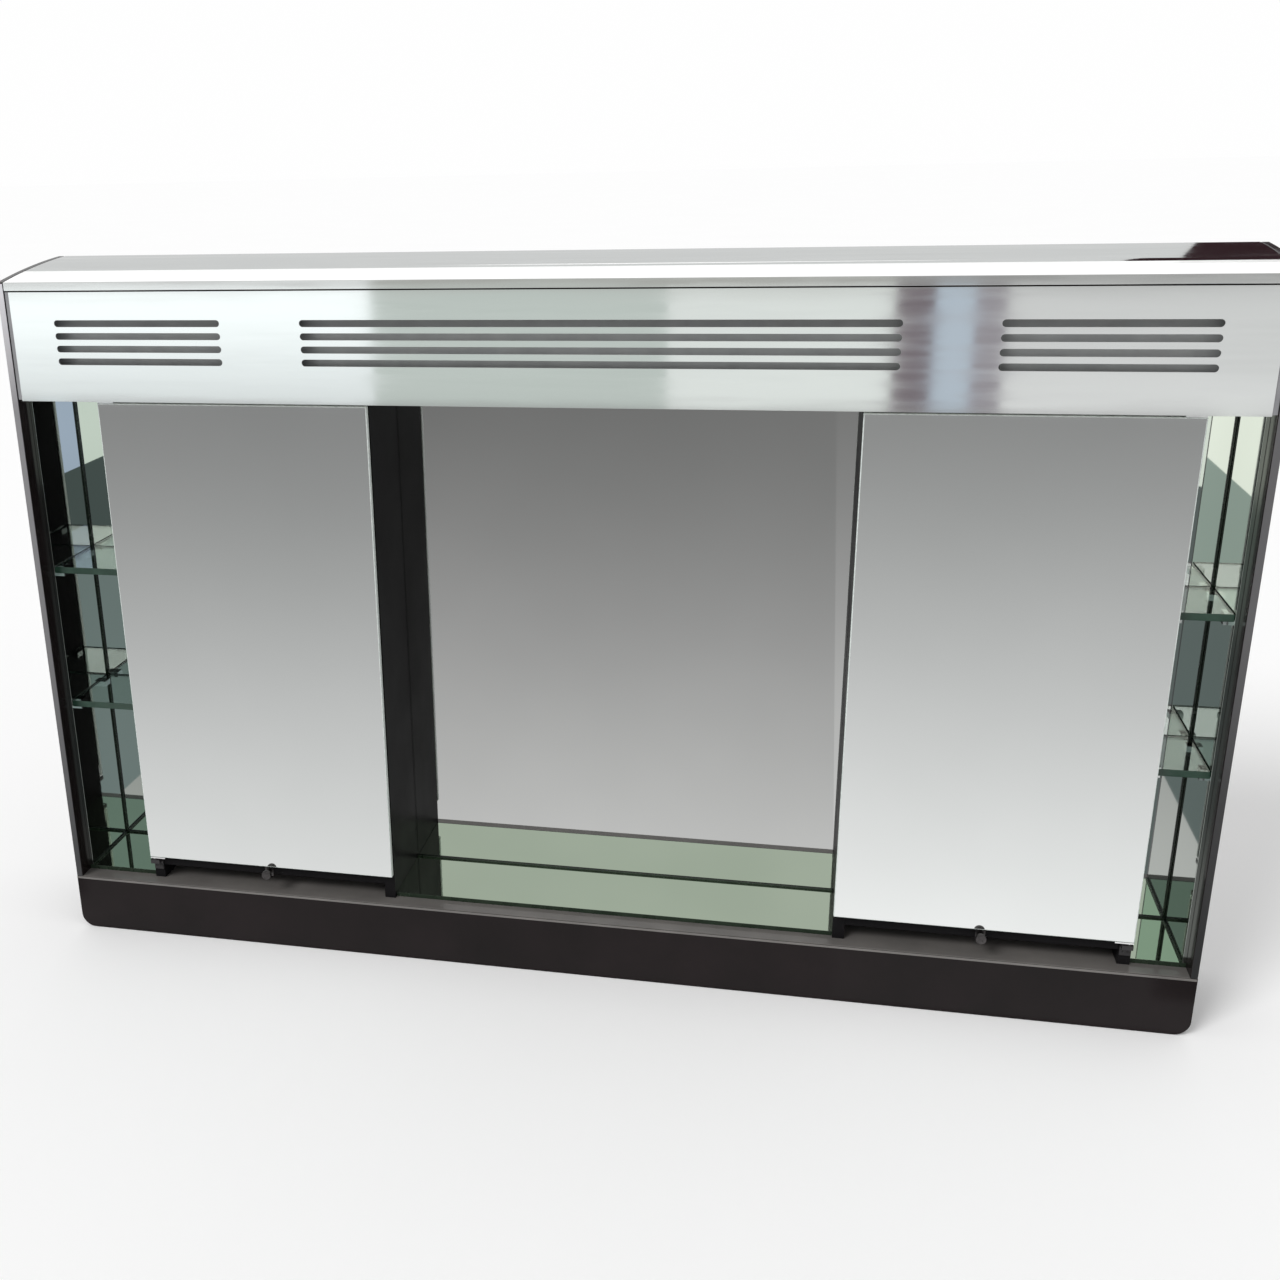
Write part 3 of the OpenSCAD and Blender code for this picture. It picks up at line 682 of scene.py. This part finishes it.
# What the backs of the niches see past the doors: a dim strip of floor that ends at a bright card.
# Both lie along the line of sight, which leaves the cabinet at x0 and moves out by slope per metre.
NICHE_SIGHTS = [("left", -0.468, -0.535, -0.539, (0.2, 0.235, 0.235), (0.62, 0.78, 0.84)),
                ("right", 0.455, 0.525, 0.24, (0.15, 0.18, 0.175), (1.02, 1.12, 1.0))]
NICHE_NEAR, NICHE_FAR, NICHE_CARD_H = 0.1, 1.9, 0.17
for side, x0, x1, slope, dim, bright in NICHE_SIGHTS:
    strip = bpy.data.meshes.new(f"{side}_niche_strip")
    rows = [(x + slope * away, -away, 0) for away in (NICHE_NEAR, NICHE_FAR) for x in (x0, x1)]
    strip.from_pydata(rows, [], [(0, 1, 3, 2)])
    strip.materials.append(glow(strip.name, dim)[0])
    card = link(bpy.data.objects.new(strip.name, strip))
    card.location.z = GROUND_Z + 4 * MM
    seen_only(card, glossy=True)
    left, right = sorted((x0 + slope * NICHE_FAR, x1 + slope * NICHE_FAR))
    seen_only(stage_card(f"{side}_niche_card", (left, 0, right, NICHE_CARD_H), (0, -NICHE_FAR, 0), (90, 0, 0),
                         glow(f"{side}_niche_card", bright)[0]), glossy=True)

# The side mirrors of the niches turn the view across the front of the doors. Upright cards that glow
# on one side only stand there, so that the doors, which look the other way, see past them.
NICHE_CARDS = [  # name, card plane, near and far ends along -Y, foot, top and colour
    ("right_bright", 0.40, 0.19, 0.47, 0.372, 0.7, (1.82, 1.87, 1.72)),
    ("right_middle", 0.40, 0.19, 0.47, 0.248, 0.372, (0.6, 0.72, 0.66)),
    ("right_low", 0.40, 0.19, 0.47, 0.002, 0.248, (0.24, 0.29, 0.29)),
    ("left_green", -0.38, 0.1625, 0.27, 0.392, 0.7, (1.5, 1.62, 1.52)),
    ("left_blue", -0.38, 0.09, 0.1625, 0.392, 0.7, (0.9, 1.04, 1.36)),
    ("left_middle", -0.38, 0.09, 0.27, 0.29, 0.392, (0.16, 0.2, 0.2)),
    ("left_low", -0.38, 0.09, 0.27, 0.002, 0.29, (0.38, 0.46, 0.47))]
for name, plane, near, far, z0, z1, colour in NICHE_CARDS:
    y0, y1, turn = (-far, -near, 90) if plane > 0 else (near, far, -90)
    seen_only(stage_card(f"niche_{name}", (y0, z0, y1, z1), (plane, 0, 0), (90, 0, turn),
                         one_sided(f"niche_{name}", colour)), glossy=True)

# What the crowned top sees beyond the cabinet, as angles above its rear edge: a grey strip with the
# white studio above it, and a brown patch at the right.
SKY = [("sky_grey", 4.0, -5, 5, 8, 21, (0.66, 0.67, 0.67)),
       ("sky_white", 4.0, -5, 5, 21, 34, (1.3, 1.3, 1.3)),
       ("sky_brown", 3.9, 1.3, 1.9, 8, 21, (0.03, 0.015, 0.018))]
for name, sky_y, left, right, low, high, colour in SKY:
    z0, z1 = (cad_bounds[1].z + sky_y * math.tan(math.radians(a)) for a in (low, high))
    seen_only(stage_card(name, (left, z0, right, z1), (0, sky_y, 0), (90, 0, 0), glow(name, colour)[0]),
              glossy=True)

# A white wall that only the camera sees, so that the floor runs into it without a line.
WHITE = 0.995
for number, turn in enumerate((0, 90, 180, 270)):
    name = f"backdrop_{number}"
    away = Matrix.Rotation(math.radians(turn), 3, "Z") @ Vector((0, 30, 0))
    seen_only(stage_card(name, (-40, -1, 40, 30), away, (90, 0, turn), glow(name, (WHITE,) * 3)[0]),
              camera=True)

world = bpy.data.worlds.new("studio")
world.use_nodes = True
world.node_tree.nodes["Background"].inputs["Color"].default_value = (1, 1, 1, 1)
world.node_tree.nodes["Background"].inputs["Strength"].default_value = 0.7
bpy.context.scene.world = world
bpy.context.scene.view_settings.view_transform = "Standard"

sun_data = bpy.data.lights.new("sun", "SUN")
sun_data.energy = 1.5
sun_data.angle = math.radians(22)
sun = link(bpy.data.objects.new("sun", sun_data))
sun.rotation_euler = Vector((1.0, 1.35, -1.5)).to_track_quat("-Z", "Y").to_euler()
sun.visible_glossy = False

camera_data = bpy.data.cameras.new("camera")
camera_data.lens = 40.56
camera_data.sensor_width = 36
camera_data.shift_x = 0.1218
camera_data.shift_y = 0.0087
camera = link(bpy.data.objects.new("camera", camera_data))
camera.location = (0.1811, -1.1692, 0.7141)
camera.rotation_euler = [math.radians(a) for a in (70.44, 1.60, 13.03)]
bpy.context.scene.camera = camera
